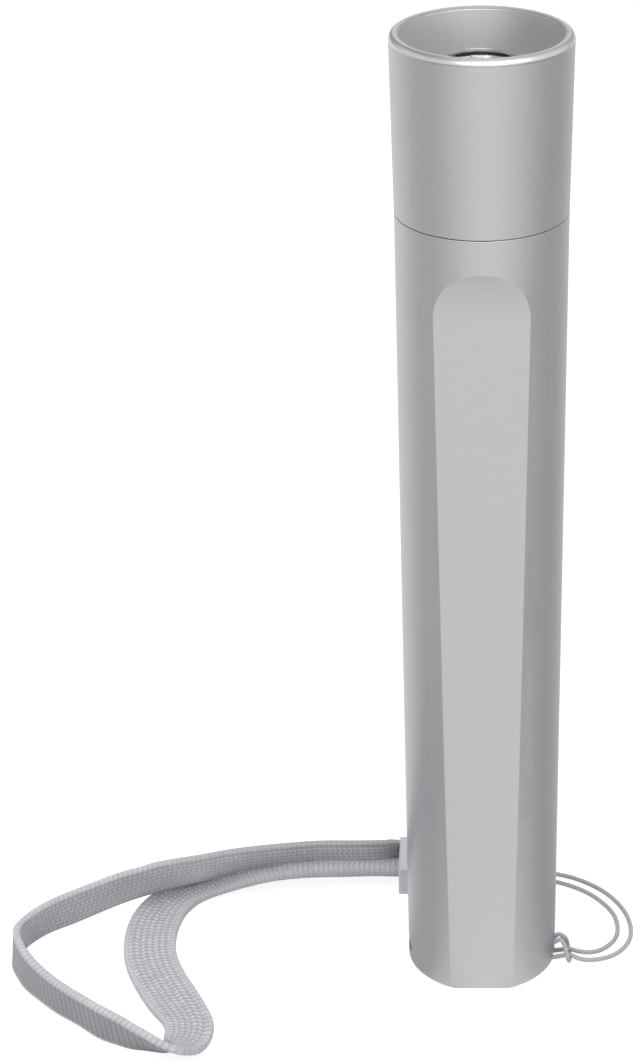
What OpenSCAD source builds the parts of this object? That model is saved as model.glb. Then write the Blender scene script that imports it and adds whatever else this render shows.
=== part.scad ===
// Aluminium torch that stands on its tail: twist head, two AA cells in line, wrist strap on a cord.
// Millimetres, +Z up, origin in the middle of the tail face, the flat of the grip towards -Y.

/* [Body tube] */
// Diameter of the body at the tail
tail_d = 26.0; // [25.6:0.1:28]
// Diameter of the body at the seam under the head
seam_d = 27.6; // [27.2:0.1:30]
// Bevel round the tail edge
tail_bevel = 0.3; // [0.1:0.05:0.6]
// Diameter of the hollow in the tail
recess_d = 20.0; // [18:0.1:20.4]
// Depth of the hollow in the tail
recess_depth = 6.5; // [5:0.1:8]
// Thickness of the floor between the tail hollow and the battery bore
tail_floor = 4.5; // [3:0.1:5]
// Bore for the cells and their liner
bore_d = 19.2; // [18.6:0.1:19.6]

/* [Grip flat] */
// Distance from the axis to the flat, at the tail
flat_dist = 11.8; // [11.2:0.05:12.2]
// Lean of the flat towards the axis going up, in degrees
flat_tilt = 0.17; // [0:0.01:0.3]
// Distance from the seam down to where the flat ends and its run-out begins
flat_end_down = 14.2; // [13.6:0.1:22]
// Radius of the concave run-out above the flat
runout_r = 16.0; // [12:0.5:20]

/* [Lanyard slot] */
// Width of the slot through the tail wall
slot_w = 8.0; // [6:0.1:9]
// Height of the slot
slot_h = 2.3; // [2:0.1:2.6]
// Height of the middle of the slot above the tail
slot_z = 2.87; // [2.8:0.01:3.4]
// Depth of the relief under the right-hand bridge, for the cord
relief_depth = 1.0; // [0.95:0.05:1.2]
// Width of the relief
relief_w = 3.6; // [3.4:0.1:4.5]
// Middle of the relief along Y
relief_y = -2.1; // [-2.3:0.1:-1.9]

/* [Neck] */
// Outer diameter of the neck that the head screws onto
neck_d = 22.6; // [22.2:0.1:23]
// Length of the neck above the seam
neck_h = 10.9; // [9:0.1:11.4]
// Width of the seal groove
groove_w = 1.7; // [1.5:0.1:2]
// Height of the seal groove above the seam
groove_up = 1.0; // [0.8:0.1:2]
// Cord thickness of the seal
seal_t = 1.3; // [1.1:0.05:1.4]
// Fall of the seal's bore below the neck surface
groove_depth = 1.2; // [1:0.05:1.25]
// Running clearance of the head on the neck, on the radius
thread_clear = 0.1; // [0.05:0.01:0.1]

/* [Head] */
// Diameter of the head at its rim
rim_d = 28.7; // [28:0.1:31]
// Height of the head
head_h = 28.7; // [28:0.1:34]
// Height of the rounding outside the rim
rim_round = 1.3; // [0.8:0.1:1.6]
// Distance from the outer wall to the crest of the rim
rim_crest = 0.8; // [0.3:0.05:0.9]
// Fall of the rim from its crest to the mouth
rim_dip = 0.38; // [0.1:0.01:0.5]
// Diameter of the mouth at the top of the bowl
mouth_d = 25.1; // [24.2:0.1:25.6]
// Radius of the spherical bowl between the mouth and the light opening
bowl_r = 18.5; // [17:0.1:24]
// Diameter of the light opening at the bottom of the bowl
aperture_d = 11.2; // [9:0.1:13]
// Thickness of the lip round the light opening
lip_t = 0.5; // [0.4:0.1:0.8]
// Width of the hairline at the seam
seam_gap = 0.15; // [0.1:0.01:0.2]
// Bore of the head above its shoulder
upper_bore_d = 17.8; // [17.6:0.1:18.2]

/* [Lens and optics] */
// Diameter of the lens
lens_d = 17.4; // [16.6:0.1:17.5]
// Thickness of the lens
lens_t = 1.3; // [1:0.1:1.6]
// Thickness of the lens gasket
gasket_t = 0.5; // [0.4:0.1:0.6]
// Height of the ring that holds the lens
lens_ring_h = 1.8; // [1.4:0.1:2.2]
// Inner diameter of the lens ring
lens_ring_bore = 16.0; // [15.9:0.1:16.4]
// Outer diameter of the reflector
reflector_d = 15.6; // [15:0.1:15.7]
// Thickness of the reflector wall at its mouth
reflector_wall = 0.9; // [0.7:0.1:1.2]
// Diameter of the hole in the reflector for the emitter
reflector_hole = 5.2; // [4.8:0.1:5.6]
// Gap between the reflector and the lens above it
lens_gap = 0.15; // [0.1:0.01:0.3]
// Side of the emitter's base
emitter_w = 3.5; // [3:0.1:3.6]
// Thickness of the emitter's base
emitter_t = 0.7; // [0.6:0.1:1]
// Diameter of the emitter's dome
dome_d = 3.2; // [2.4:0.1:3.2]

/* [Light engine] */
// Running clearance of the heat sink in the bore, on the radius
sink_clear = 0.08; // [0.05:0.01:0.1]
// Height of the heat sink inside the bore
sink_h = 31.4; // [29:0.1:31.6]
// Thickness of the flange that the head presses down
flange_t = 1.25; // [1:0.05:1.5]
// Diameter of the flange
flange_d = 21.8; // [20.8:0.1:22]
// Gap between stacked faces of parts that move apart
face_gap = 0.05; // [0.02:0.01:0.08]
// Depth of the hollow for the driver at the bottom of the heat sink
driver_hollow = 9.0; // [8.6:0.1:12]
// Diameter of the driver board
driver_d = 16.4; // [15.6:0.1:16.6]
// Thickness of the driver board
driver_t = 1.0; // [0.8:0.1:1.2]
// Width of the ledge that the driver board sits against
ledge_w = 0.8; // [0.6:0.1:1]
// Height of the ring that holds the driver board
driver_ring_h = 1.6; // [1.2:0.1:2]
// Diameter of the emitter's board
star_d = 14.8; // [14:0.1:15]
// Thickness of the emitter's board
star_t = 1.2; // [1:0.1:1.6]
// Diameter of the key pin
key_d = 2.0; // [1.6:0.1:2.2]
// Height of the key pin below the neck's end
key_down = 7.4; // [7:0.1:7.8]
// How far the key pin stands out of the heat sink
key_out = 0.8; // [0.6:0.05:0.85]
// Side clearance of the key pin in its slot
key_clear = 0.1; // [0.05:0.01:0.15]
// Diameter of the insulated wires between driver and emitter
wire_d = 1.1; // [0.9:0.1:1.2]
// Distance of the wires from the axis
wire_r = 5.6; // [5.4:0.1:5.8]

/* [Cells and contacts] */
// Diameter of an AA cell
cell_d = 14.2; // [14:0.1:14.5]
// Length of an AA cell with its nub
cell_l = 50.5; // [49.5:0.1:50.5]
// Height of the nub
nub_h = 1.2; // [1:0.1:1.6]
// Diameter of the nub
nub_d = 5.5; // [5:0.1:5.5]
// Clearance of the liner in the bore, on the radius
liner_clear = 0.1; // [0.05:0.01:0.15]
// Thickness of the liner's outer wall
liner_wall = 0.8; // [0.6:0.1:1]
// Clearance between a cell and the liner's ribs, on the radius
cell_clear = 0.3; // [0.2:0.05:0.4]
// Number of ribs inside the liner
liner_ribs = 8; // [5:1:12]
// Thickness of the tail contact
contact_t = 0.8; // [0.5:0.1:1]
// Wire thickness of the contact spring
spring_wire = 0.8; // [0.6:0.1:0.9]
// Mean diameter of the contact spring at the driver board
spring_d = 7.2; // [6:0.1:8]
// Mean diameter of the contact spring at the cell
spring_tip_d = 3.8; // [3:0.1:4.4]
// Turns of the contact spring
spring_turns = 6; // [5:1:7]
// Height of the contact spring between the front cell and the driver board
spring_h = 8.8; // [7.8:0.1:12]

/* [Strap] */
// Width of the webbing
strap_w = 9.3; // [8:0.1:9.5]
// Thickness of the webbing
strap_t = 1.4; // [1.2:0.05:1.5]
// Width of the webbing where the clip gathers it
gathered_w = 8.4; // [8:0.1:8.9]
// Thickness of the cord
cord_d = 0.8; // [0.6:0.05:0.8]
// Length of the clip
clip_l = 9.8; // [8:0.1:10.3]
// Width of the clip
clip_w = 10.9; // [10.5:0.1:11.5]
// Height of the clip
clip_h = 5.8; // [5.6:0.1:6.2]
// Rounding of the clip's corners
clip_round = 0.5; // [0.4:0.1:0.8]
// Wall of the clip round its mouth
clip_wall = 0.35; // [0.3:0.05:0.4]

/* [Hidden] */
$fn = 96;
e = 0.01;
bore_z = recess_depth + tail_floor;
contact_z = bore_z;
rear_z = contact_z + contact_t;
front_z = rear_z + cell_l;
cells_top = front_z + cell_l;
driver_z = cells_top + spring_h;
driver_ring_z = driver_z - driver_ring_h;
sink_z = driver_ring_z;
neck_top = sink_z + sink_h;
// The cells, their spring and the heat sink set the length of the body
seam_z = neck_top - neck_h;
top_z = seam_z + head_h;
flat_end_z = seam_z - flat_end_down;
neck_r = neck_d / 2;
bore_r = bore_d / 2;
neck_bore_r = neck_r + thread_clear;
sink_r = bore_r - sink_clear;
flange_z = neck_top + face_gap;
shoulder_z = flange_z + flange_t + face_gap;
star_z = flange_z + flange_t;
star_top = star_z + star_t;
bowl_z = top_z - rim_dip + sqrt(bowl_r * bowl_r - mouth_d * mouth_d / 4);
aperture_z = bowl_z - sqrt(bowl_r * bowl_r - aperture_d * aperture_d / 4);
lip_z = aperture_z - lip_t;
upper_r = upper_bore_d / 2;
gasket_z = lip_z - gasket_t;
lens_z = gasket_z - lens_t;
lens_ring_z = lens_z - lens_ring_h;
reflector_top = lens_z - lens_gap;
emitter_top = star_top + emitter_t;
ring_t = emitter_t + 0.1;
reflector_z = star_top + ring_t;
driver_top = driver_z + driver_t;
hollow_r = driver_d / 2 + 0.1;
wire_top = star_top + 0.4;
key_z = neck_top - key_down;
key_groove_r = sink_r + key_out + 0.1;
liner_r = bore_r - liner_clear;
liner_top = cells_top - 2;
cell_r = cell_d / 2;
spring_z0 = cells_top;
spring_z1 = driver_z;
seal_z = seam_z + groove_up + groove_w / 2;
groove_r = neck_r - groove_depth;
head_taper = (rim_d - seam_d) / 2 / head_h;

// Place of the clip on the floor, behind and beside the torch
clip_x1 = -5.5;
clip_x0 = clip_x1 - clip_l;
clip_y = 22.5;
strap_in = 4.5;
cord_in = 2.5;
cord_z = 2.7;
cord_ys = [clip_y - 0.7, clip_y + 1.2];
layer_up = strap_t / 2 + 0.05;

function body_r(z) = tail_d / 2 + (seam_d - tail_d) / 2 * z / seam_z;

module ring(r_out, r_in, h) {
  difference() {
    cylinder(r = r_out, h = h);
    translate([0, 0, -1]) cylinder(r = r_in, h = h + 2);
  }
}

// Body tube: tapered outside, flat on the front, hollow tail and stepped neck
module body_tube() {
  color("silver")
  difference() {
    rotate_extrude() polygon([
      [0, 0], [tail_d / 2 - tail_bevel, 0], [body_r(tail_bevel), tail_bevel],
      [seam_d / 2, seam_z - seam_gap], [neck_r, seam_z - seam_gap],
      [neck_r, neck_top - 0.4], [neck_r - 0.4, neck_top], [0, neck_top]]);
    grip_flat();
    tail_hollow();
    translate([0, 0, bore_z]) cylinder(d = bore_d, h = neck_top);
    lanyard_slot();
    seal_groove();
    key_slot();
  }
}

// The flat leans with its plane about the X axis, and runs out upwards along a concave round
module grip_flat() {
  rotate([-flat_tilt, 0, 0]) {
    translate([-tail_d, -flat_dist - tail_d, -tail_d]) cube([2 * tail_d, tail_d, flat_end_z + tail_d]);
    translate([0, -flat_dist - runout_r, flat_end_z]) rotate([0, 90, 0])
      cylinder(r = runout_r, h = 2 * tail_d, center = true);
  }
}

module tail_hollow() {
  translate([0, 0, -1]) cylinder(d = recess_d, h = recess_depth + 1);
}

// An obround slot through both sides of the tail wall, with room for the cord under the right side
module lanyard_slot() {
  side = slot_w / 2 - slot_h / 2;
  for (y = [-side, side]) translate([0, y, slot_z]) rotate([0, 90, 0])
    cylinder(d = slot_h, h = 2 * tail_d, center = true);
  translate([-tail_d, -side, slot_z - slot_h / 2]) cube([2 * tail_d, 2 * side, slot_h]);
  translate([0, relief_y - relief_w / 2, -1]) cube([tail_d, relief_w, relief_depth + 1]);
}

module seal_groove() {
  translate([0, 0, seal_z - groove_w / 2]) ring(neck_r + 1, groove_r, groove_w);
}

// Blind keyway at the back of the neck, open at its top
module key_slot() {
  w = key_d + 2 * key_clear;
  low = key_z - key_d / 2 - key_clear;
  intersection() {
    translate([-w / 2, 0, low]) cube([w, tail_d, neck_top - low + 1]);
    cylinder(r = key_groove_r, h = top_z);
  }
}

module neck_seal() {
  color("dimgray") translate([0, 0, seal_z]) rotate_extrude()
    translate([groove_r + seal_t / 2, 0]) circle(d = seal_t, $fn = 32);
}

module tail_contact() {
  color("gold") translate([0, 0, contact_z]) {
    cylinder(r = cell_r - 0.4, h = contact_t);
  }
}

// Ribbed liner that centres the slim cells in the wide bore
module cell_liner() {
  rib_r = cell_r + cell_clear;
  color("white") translate([0, 0, contact_z]) difference() {
    union() {
      ring(liner_r, liner_r - liner_wall, liner_top - contact_z);
      for (i = [0 : liner_ribs - 1]) rotate(i * 360 / liner_ribs)
        translate([rib_r - 0.5, -0.6, 0]) cube([liner_r - liner_wall / 2 - rib_r + 0.5, 1.2, liner_top - contact_z]);
    }
    translate([0, 0, -1]) cylinder(r = rib_r, h = liner_top);
  }
}

module cell_can(z) {
  can_h = cell_l - nub_h;
  translate([0, 0, z]) rotate_extrude() polygon([
    [0, 0], [cell_r - 0.6, 0], [cell_r, 0.6], [cell_r, can_h - 0.8], [cell_r - 0.8, can_h],
    [nub_d / 2 + 1.4, can_h], [nub_d / 2 + 1.4, can_h - 0.3], [0, can_h - 0.3]]);
}

// Raised positive cap in the middle of the can's dished end
module cell_cap(z) {
  low = cell_l - nub_h - 0.3;
  translate([0, 0, z]) rotate_extrude() polygon([
    [0, low], [nub_d / 2 + 1.2, low], [nub_d / 2 + 1.2, low + 0.3], [nub_d / 2, low + 0.3],
    [nub_d / 2, cell_l - 0.3], [nub_d / 2 - 0.3, cell_l], [0, cell_l]]);
}

module rear_cell_can() { color("slategray") cell_can(rear_z); }
module rear_cell_cap() { color("gainsboro") cell_cap(rear_z); }
module front_cell_can() { color("slategray") cell_can(front_z); }
module front_cell_cap() { color("gainsboro") cell_cap(front_z); }

// Heat sink: a plug that slides in the bore, with a flange that the head presses on the neck
module heat_sink() {
  color("lightgray") difference() {
    union() {
      translate([0, 0, sink_z]) cylinder(r = sink_r, h = sink_h + face_gap + e);
      translate([0, 0, flange_z]) cylinder(d = flange_d, h = flange_t);
    }
    translate([0, 0, sink_z - 1]) cylinder(r = hollow_r, h = driver_top - sink_z + 1);
    translate([0, 0, driver_top - e]) cylinder(r = hollow_r - ledge_w, h = driver_hollow);
    for (s = [-1, 1]) translate([s * wire_r, 0, driver_top]) cylinder(d = wire_d + 0.4, h = sink_h);
    translate([0, sink_r, key_z]) rotate([90, 0, 0]) cylinder(d = key_d, h = 5);
  }
}

// Pin that stops the light engine from turning with the head
module key_pin() {
  color("gray") translate([0, sink_r + key_out, key_z]) rotate([90, 0, 0]) cylinder(d = key_d, h = 5 + key_out - 0.2);
}

module driver_board() {
  color("darkgreen") translate([0, 0, driver_z]) difference() {
    cylinder(d = driver_d, h = driver_t);
    for (s = [-1, 1]) translate([s * wire_r, 0, -1]) cylinder(d = wire_d, h = driver_t + 2);
  }
}

module driver_chip() {
  color("black") translate([-2, 1.2, driver_top]) union() {
    cube([4, 3.9, 1.4]);
    for (x = [0.35, 1.45, 2.55]) for (y = [-0.9, 3.8]) translate([x, y, 0]) cube([0.5, 1.0, 0.4]);
  }
}

module driver_coil() {
  color("dimgray") translate([0, -3.4, driver_top]) difference() {
    translate([-2.2, -2.2, 0]) cube([4.4, 4.4, 3]);
    translate([0, 0, 2.6]) cylinder(d = 2.6, h = 1);
  }
}

module capacitor(x) {
  color("tan") translate([x - 0.6, -3.6, driver_top]) cube([1.2, 2, 1.1]);
}
module capacitor_left() { capacitor(-4); }
module capacitor_right() { capacitor(4); }

module driver_ring() {
  color("gold") translate([0, 0, driver_ring_z]) difference() {
    ring(hollow_r - 0.05, hollow_r - 1.4, driver_ring_h);
    for (a = [0, 180]) rotate(a) translate([hollow_r - 0.9, -0.8, -1]) cube([2, 1.6, 1.6]);
  }
}

// Contact spring: a cone of wire, close turns at both ends, its centre line as a formula
function spring_climb(t, rise, close) =
  t < 1 ? close * t : t > spring_turns - 1 ? rise - close * (spring_turns - t)
  : close + (rise - 2 * close) * (t - 1) / (spring_turns - 2);
function spring_at(t) =
  let (r = (spring_tip_d + (spring_d - spring_tip_d) * t / spring_turns) / 2)
  [r * cos(360 * t), r * sin(360 * t),
   spring_z0 + spring_wire / 2 + spring_climb(t, spring_z1 - spring_z0 - spring_wire, spring_wire + 0.1)];

// Tube along a list of points with a round section, its ends closed
function unit(v) = v / norm(v);
function along(p, i) = unit(p[min(i + 1, len(p) - 1)] - p[max(i - 1, 0)]);
function side_of(t) = unit(abs(t[2]) > 0.95 ? cross(t, [0, 1, 0]) : cross(t, [0, 0, 1]));
module tube(p, d, sides) {
  n = len(p);
  points = [for (i = [0 : n - 1]) let (t = along(p, i), a = side_of(t), b = cross(t, a))
    for (k = [0 : sides - 1]) p[i] + d / 2 * (cos(360 * k / sides) * a + sin(360 * k / sides) * b)];
  walls = [for (i = [0 : n - 2]) for (k = [0 : sides - 1]) let (m = (k + 1) % sides)
    each [[i * sides + k, (i + 1) * sides + k, (i + 1) * sides + m],
          [i * sides + k, (i + 1) * sides + m, i * sides + m]]];
  low_end = [for (k = [1 : sides - 2]) [0, k, k + 1]];
  high_end = [for (k = [1 : sides - 2]) [(n - 1) * sides, (n - 1) * sides + k + 1, (n - 1) * sides + k]];
  polyhedron(points = points, faces = concat(walls, low_end, high_end), convexity = 10);
}

module contact_spring() {
  color("gold") tube([for (i = [0 : 10 * spring_turns]) spring_at(i / 10)], spring_wire, 8);
}

module wire_positive() {
  color("firebrick") translate([wire_r, 0, driver_z]) cylinder(d = wire_d - 0.1, h = wire_top - driver_z);
}

module wire_negative() {
  color("black") translate([-wire_r, 0, driver_z]) cylinder(d = wire_d - 0.1, h = wire_top - driver_z);
}

// Star board with six scallops; two of them pass the wires
module emitter_board() {
  color("white") translate([0, 0, star_z]) difference() {
    cylinder(d = star_d, h = star_t);
    for (i = [0 : 5]) rotate(i * 60) translate([star_d / 2 - 0.2, 0, -1]) cylinder(d = 2, h = star_t + 2);
    for (s = [-1, 1]) translate([s * wire_r, 0, -1]) cylinder(d = wire_d + 0.2, h = star_t + 2);
  }
}

module emitter_base() {
  color("ivory") translate([-emitter_w / 2, -emitter_w / 2, star_top]) cube([emitter_w, emitter_w, emitter_t]);
}

module emitter_dome() {
  color("khaki") translate([0, 0, emitter_top]) intersection() {
    sphere(d = dome_d);
    cylinder(d = dome_d, h = dome_d);
  }
}

module centring_ring() {
  color("whitesmoke") translate([0, 0, star_top]) difference() {
    cylinder(r = reflector_hole / 2 + 1.9, h = ring_t);
    translate([-emitter_w / 2 - 0.05, -emitter_w / 2 - 0.05, -1]) cube([emitter_w + 0.1, emitter_w + 0.1, ring_t + 2]);
  }
}

// Reflector: a paraboloid bowl with an even wall
module reflector() {
  h = reflector_top - reflector_z;
  r0 = reflector_hole / 2;
  r1 = reflector_d / 2 - reflector_wall;
  steps = 14;
  function bowl(t) = [sqrt(r0 * r0 + (r1 * r1 - r0 * r0) * t), reflector_z + h * t];
  inner = [for (i = [0 : steps]) bowl(i / steps)];
  outer = [for (i = [steps : -1 : 1]) bowl(i / steps) + [reflector_wall, 0]];
  color("white") rotate_extrude()
    polygon(concat(inner, outer, [[r0 + reflector_wall + 0.6, reflector_z]]));
}

// Head: one turned shell, a rounded rim, a shallow bowl down to the light opening
module head_shell() {
  outer_r = rim_d / 2;
  crest_r = outer_r - rim_crest;
  mouth_r = mouth_d / 2;
  profile = concat(
    [[seam_d / 2, seam_z], [outer_r - head_taper * rim_round, top_z - rim_round]],
    [for (a = [9 : 9 : 90]) [crest_r + rim_crest * cos(a), top_z - rim_round + rim_round * sin(a)]],
    [for (a = [15 : 15 : 60]) [crest_r - (crest_r - mouth_r) * sin(a) / sin(60), top_z - rim_dip * (1 - cos(a)) * 2]],
    [[aperture_d / 2, top_z - rim_dip], [aperture_d / 2, lip_z], [upper_r, lip_z], [upper_r, shoulder_z],
     [neck_bore_r, shoulder_z], [neck_bore_r, seam_z + 0.4], [neck_bore_r + 0.4, seam_z]]);
  color("silver") difference() {
    rotate_extrude() polygon(profile);
    translate([0, 0, bowl_z]) sphere(r = bowl_r);
  }
}

module lens_gasket() {
  color("black") translate([0, 0, gasket_z]) ring(lens_d / 2 - 0.1, aperture_d / 2 + 0.4, gasket_t);
}

module lens() {
  color("lightcyan") translate([0, 0, lens_z]) cylinder(d = lens_d, h = lens_t);
}

module lens_ring() {
  color("gray") translate([0, 0, lens_ring_z]) ring(upper_r - 0.05, lens_ring_bore / 2, lens_ring_h);
}

// Cord route: out of the clip, behind the torch, round to the slot on the right, and back
cord_route = [
  [-8, 23.7, 2.7], [-5.5, 23.7, 2.7], [-3, 23.8, 2.4], [0, 24.0, 1.3], [4, 24.2, 0.55], [9, 24.0, 0.45],
  [13.8, 23.3, 0.45], [18.4, 21.1, 0.45], [22.9, 16.9, 0.45], [25.9, 11.3, 0.45], [26.9, 5.2, 0.45],
  [26.0, 0.9, 0.45], [23.4, -2.5, 0.45], [19.9, -4.0, 0.5], [17.4, -4.1, 0.8], [15.5, -3.6, 1.3],
  [13.8, -3.3, 0.8], [12.6, -3.2, 0.5], [10.4, -3.1, 0.48], [9.1, -3.1, 0.75], [8.7, -3.0, 1.8],
  [9.2, -2.9, 2.7], [11.0, -2.8, 2.9], [12.9, -2.7, 3.4], [13.9, -2.8, 4.0], [14.6, -3.5, 3.5],
  [15.0, -4.5, 2.4], [15.3, -4.8, 1.3], [15.5, -4.1, 0.45], [15.6, -2.6, 0.45], [15.5, -1.1, 0.45],
  [15.3, -0.4, 1.3], [15.0, -0.7, 2.6], [14.4, -1.1, 3.6], [13.6, -1.3, 4.1], [12.6, -1.3, 3.3],
  [11.0, -1.3, 2.9], [9.2, -1.3, 2.7], [8.7, -1.2, 1.8], [9.1, -1.1, 0.75], [10.4, -1.1, 0.48],
  [12.6, -1.2, 0.5], [13.8, -1.4, 0.8], [15.5, -1.8, 1.3], [17.2, -1.8, 0.8], [19.0, -1.7, 0.5],
  [21.1, -1.0, 0.45], [23.2, 1.2, 0.45], [24.4, 4.3, 0.45], [24.1, 9.6, 0.45], [21.8, 14.3, 0.45],
  [18.4, 18.0, 0.45], [13.7, 20.7, 0.45], [9, 21.9, 0.45], [4, 22.2, 0.55], [0, 22.1, 1.3],
  [-3, 21.9, 2.4], [-5.5, 21.8, 2.7], [-8, 21.8, 2.7]];

module lanyard_cord() {
  color("lightgray") tube(cord_route, cord_d, 8);
}

// Bar with its four long edges rounded, standing on the floor, centred on the Z axis
module round_bar(a, b, h, r) {
  for (x = [-1, 1]) for (y = [-1, 1]) translate([x * (a / 2 - r), y * (b / 2 - r), 0]) cylinder(r = r, h = h, $fn = 32);
  translate([-a / 2, -b / 2 + r, 0]) cube([a, b - 2 * r, h]);
  translate([-a / 2 + r, -b / 2, 0]) cube([a - 2 * r, b, h]);
}

// Clip: a moulded coupler, webbing gathered in its left end and the cord's ends in its right end
module strap_clip() {
  mid_x = clip_x0 + clip_l / 2;
  color("darkgray") difference() {
    intersection() {
      translate([mid_x, clip_y, 0]) round_bar(clip_l, clip_w, clip_h, clip_round);
      translate([clip_x0, clip_y, clip_h / 2]) rotate([0, 90, 0]) round_bar(clip_h, clip_w, clip_l, clip_round);
      translate([mid_x, clip_y + clip_w / 2, clip_h / 2]) rotate([90, 0, 0]) round_bar(clip_l, clip_h, clip_w, clip_round);
    }
    translate([clip_x0, clip_y - gathered_w / 2 - 0.1, clip_h / 2 - strap_t - 0.15])
      cube([strap_in, gathered_w + 0.2, 2 * strap_t + 0.3]);
    translate([clip_x0 - 1, clip_y - clip_w / 2 + clip_wall, clip_wall])
      cube([3.8, clip_w - 2 * clip_wall, clip_h - 2 * clip_wall]);
    for (y = cord_ys) translate([clip_x1 - cord_in, y, cord_z]) rotate([0, 90, 0])
      cylinder(d = cord_d + 0.1, h = cord_in + 1);
  }
}

// Webbing stations: middle of the band, compass bearing and elevation of its width, and the width
strap_route = [
  [clip_x0 + strap_in, clip_y, clip_h / 2 + layer_up, -90, 0, gathered_w],
  [clip_x0 + 2.8, clip_y, clip_h / 2 + layer_up, -90, 1, gathered_w],
  [-15.2, 23.4, 3.65, -90, 18, 8.3], [-16.5, 23.9, 4.6, -90, 33, 8.9],
  [-18.2, 24.1, 5.4, -90, 43, strap_w], [-23.5, 24.0, 5.54, -90, 46, strap_w],
  [-30, 23.8, 5.57, -89, 46, strap_w], [-37.5, 22.7, 5.57, -84, 45, strap_w],
  [-45, 21.1, 5.66, -78, 47, strap_w], [-52.3, 17.7, 5.93, -73, 53, strap_w],
  [-59.3, 13.5, 6.2, -66, 65, strap_w], [-62.5, 12.5, 5.72, -63, 65, strap_w],
  [-66, 11.4, 5.11, -60, 67, strap_w],
  [-72.9, 6.8, 4.7, -50, 69, strap_w], [-77.7, 3.0, 4.7, -42, 68, strap_w],
  [-80.8, -1.3, 4.75, -28, 71, strap_w], [-82.0, -6.1, 4.8, -45, 80, strap_w],
  [-80.5, -10.6, 4.73, -75, 82, strap_w], [-78.8, -13.7, 4.69, -72, 74, strap_w],
  [-76.3, -16.8, 4.6, -71, 68, strap_w], [-72.9, -20.5, 4.56, -71, 66, strap_w],
  [-68.0, -24.8, 4.54, -74, 65, strap_w], [-64.4, -27.5, 4.52, -78, 64, strap_w],
  [-60.9, -29.7, 4.41, -81, 60, strap_w], [-57.5, -31.4, 4.04, -85, 50, strap_w],
  [-54.6, -31.3, 3.3, -88, 34, strap_w], [-52.6, -30.4, 2.3, -71, 17, 9.0],
  [-51.0, -29.0, 1.4, -47, 6, 8.8], [-50.4, -26.8, 0.95, -25, 1, 8.7],
  [-50.4, -24.3, 0.8, -7, 0, 8.7], [-51.4, -20.7, 0.8, 13, 0, 8.9],
  [-54.0, -15.7, 0.8, 25, 0, strap_w], [-56.7, -10.0, 0.8, 22, 0, strap_w],
  [-58.7, -4.2, 0.8, 12, 0, strap_w], [-59.4, 1.7, 0.8, 0, 0, strap_w],
  [-58.9, 7.8, 0.8, -12, 0, 9.2], [-57.0, 13.1, 0.8, -30, 1, 8.7],
  [-53.0, 17.6, 0.9, -52, 2, 8.1], [-47.3, 20.7, 1.2, -66, 7, 8.2],
  [-40.5, 22.6, 1.7, -78, 12, 8.4], [-33, 23.7, 1.85, -85, 14, 8.5],
  [-25.5, 24.1, 1.85, -90, 14, 8.5], [-20.5, 24.4, 1.75, -90, 14, 7.9],
  [-17.5, 24.5, 1.6, -90, 12, 6.9], [-15.2, 24.5, 1.55, -90, 9, 6.3],
  [clip_x0 + 2.8, clip_y, clip_h / 2 - layer_up, -90, 1, 6.8],
  [clip_x0 + strap_in, clip_y, clip_h / 2 - layer_up, -90, 0, 6.8]];

function place(s) = [s[0], s[1], s[2]];
function width_way(s) = [cos(s[4]) * cos(s[3]), cos(s[4]) * sin(s[3]), sin(s[4])];

// Flat band with bevelled edges through the stations
module band(s, t) {
  n = len(s);
  path = [for (v = s) place(v)];
  bevel = t * 0.3;
  function section(w) = [[w / 2, t / 2 - bevel], [w / 2 - bevel, t / 2], [-w / 2 + bevel, t / 2], [-w / 2, t / 2 - bevel],
    [-w / 2, -t / 2 + bevel], [-w / 2 + bevel, -t / 2], [w / 2 - bevel, -t / 2], [w / 2, -t / 2 + bevel]];
  points = [for (i = [0 : n - 1])
    let (u0 = width_way(s[i]), t0 = along(path, i), u = u0, v = unit(cross(t0, u)))
    for (q = section(s[i][5])) path[i] + q[0] * u + q[1] * v];
  walls = [for (i = [0 : n - 2]) for (k = [0 : 7]) let (m = (k + 1) % 8)
    each [[i * 8 + k, (i + 1) * 8 + k, (i + 1) * 8 + m], [i * 8 + k, (i + 1) * 8 + m, i * 8 + m]]];
  low_end = [for (k = [1 : 6]) [0, k, k + 1]];
  high_end = [for (k = [1 : 6]) [(n - 1) * 8, (n - 1) * 8 + k + 1, (n - 1) * 8 + k]];
  polyhedron(points = points, faces = concat(walls, low_end, high_end), convexity = 10);
}

module wrist_strap() {
  color("gainsboro") band(strap_route, strap_t);
}

body_tube();
neck_seal();
tail_contact();
cell_liner();
rear_cell_can();
rear_cell_cap();
front_cell_can();
front_cell_cap();
heat_sink();
key_pin();
driver_board();
driver_chip();
driver_coil();
capacitor_left();
capacitor_right();
driver_ring();
contact_spring();
wire_positive();
wire_negative();
emitter_board();
emitter_base();
emitter_dome();
centring_ring();
reflector();
head_shell();
lens_gasket();
lens();
lens_ring();
lanyard_cord();
strap_clip();
wrist_strap();
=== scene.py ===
"""Looks of an aluminium torch that stands on its tail, with a wrist strap on a thin cord.

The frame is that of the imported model: +Z up along the torch, the tail on z = 0, and the flat of the
grip towards -Y, where the camera is. The scene is in metres; routes and sections are in millimetres.
"""
import math

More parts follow.
